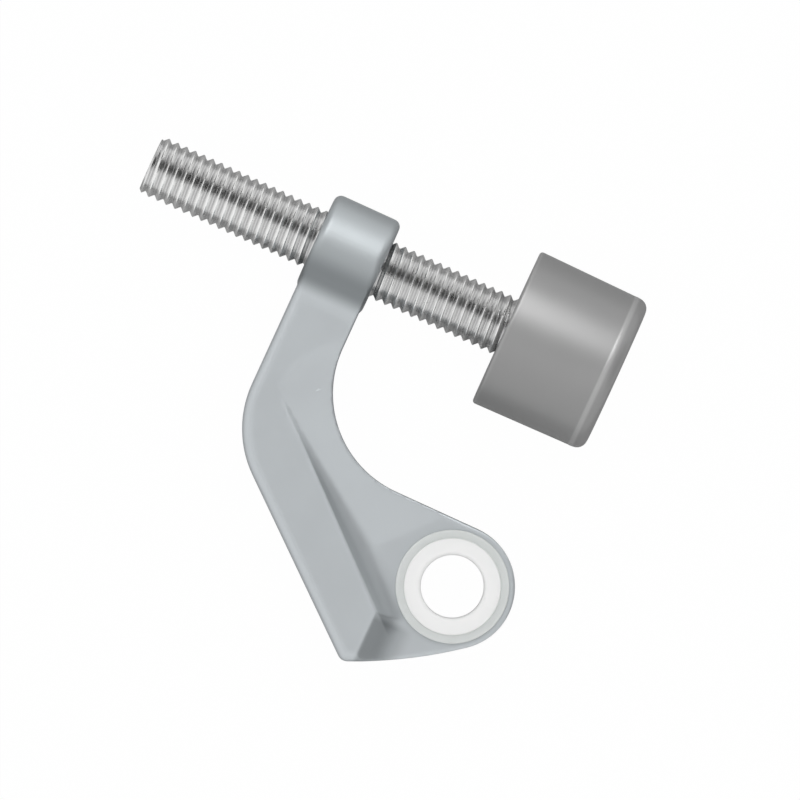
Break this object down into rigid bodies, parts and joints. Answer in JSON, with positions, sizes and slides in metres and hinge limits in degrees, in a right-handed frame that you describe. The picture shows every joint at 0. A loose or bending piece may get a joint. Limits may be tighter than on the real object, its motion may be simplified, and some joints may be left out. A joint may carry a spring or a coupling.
{
  "type": "hinge pin door stop",
  "caption": "Hinge pin door stop: bent cast arm with an eye and plastic bush for a hinge pin, and a screw with a round bumper through a boss.",
  "frame": {"origin": "on the hinge pin's axis, at the middle of the arm's thickness", "axes": "+Z along the hinge pin, towards the bush's flange; +X along the stud, out of the bumper's face; +Y from the eye up to the stud"},
  "size_m": [0.0665, 0.059, 0.0216],
  "materials": {
    "satin_casting": "satin plated casting",
    "white_plastic": "smooth translucent white",
    "bright_steel": "bright rolled thread",
    "grey_bumper": "smooth semi-matt grey"
  },
  "bodies": {
    "arm": {"arm": "satin_casting", "pin_bush": "white_plastic"},
    "bumper": {"bumper": "grey_bumper"},
    "stud": {"threaded_stud": "bright_steel"}
  },
  "joints": [
    {"name": "bumper_travel", "type": "slide", "parent": "arm", "child": "bumper", "axis": [1, 0, 0], "range_m": [-0.01751, 0.02376]},
    {"name": "stud_turn", "type": "hinge", "parent": "bumper", "child": "stud", "pos_m": [0, 0.0336, 0], "axis": [1, 0, 0], "range_deg": [-5040, 6840]}
  ],
  "couplings": [
    {"joint": "bumper_travel", "follows": "stud_turn", "m_per_rad": 0.00019894}
  ]
}
